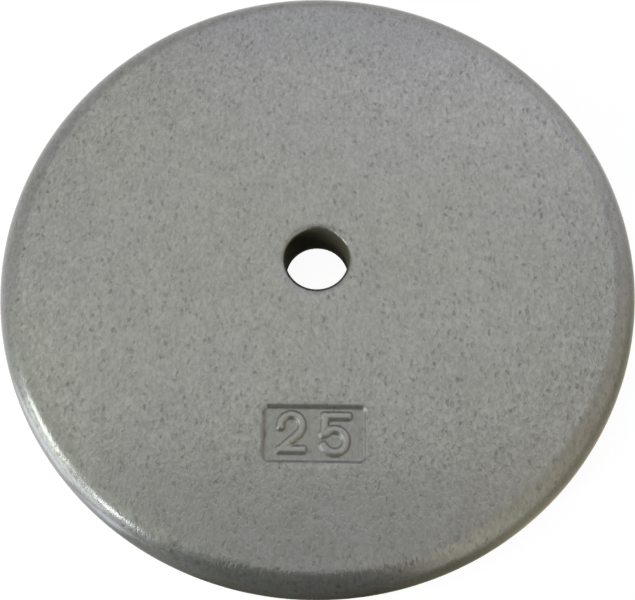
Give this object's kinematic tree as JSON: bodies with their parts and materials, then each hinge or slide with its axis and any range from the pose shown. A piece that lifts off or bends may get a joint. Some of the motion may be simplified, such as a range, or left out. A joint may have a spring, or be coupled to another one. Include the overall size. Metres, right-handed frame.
{
  "type": "barbell weight plate",
  "caption": "Solid round iron plate with rolled rims, a plain through bore and a shallow number panel, for loading a bar.",
  "frame": {"origin": "centre of the bore at the back face, which is the face that the plate lies on", "axes": "+Z along the bore from the back face to the front face, -Y from the bore to the number panel, +X to the right of the number as it is read"},
  "size_m": [0.288, 0.288, 0.0254],
  "materials": {
    "hammered_enamel": "light grey hammered enamel baked on grey cast iron, semi-gloss, with small darker dimples"
  },
  "bodies": {
    "root": {"plate": "hammered_enamel"}
  },
  "joints": []
}
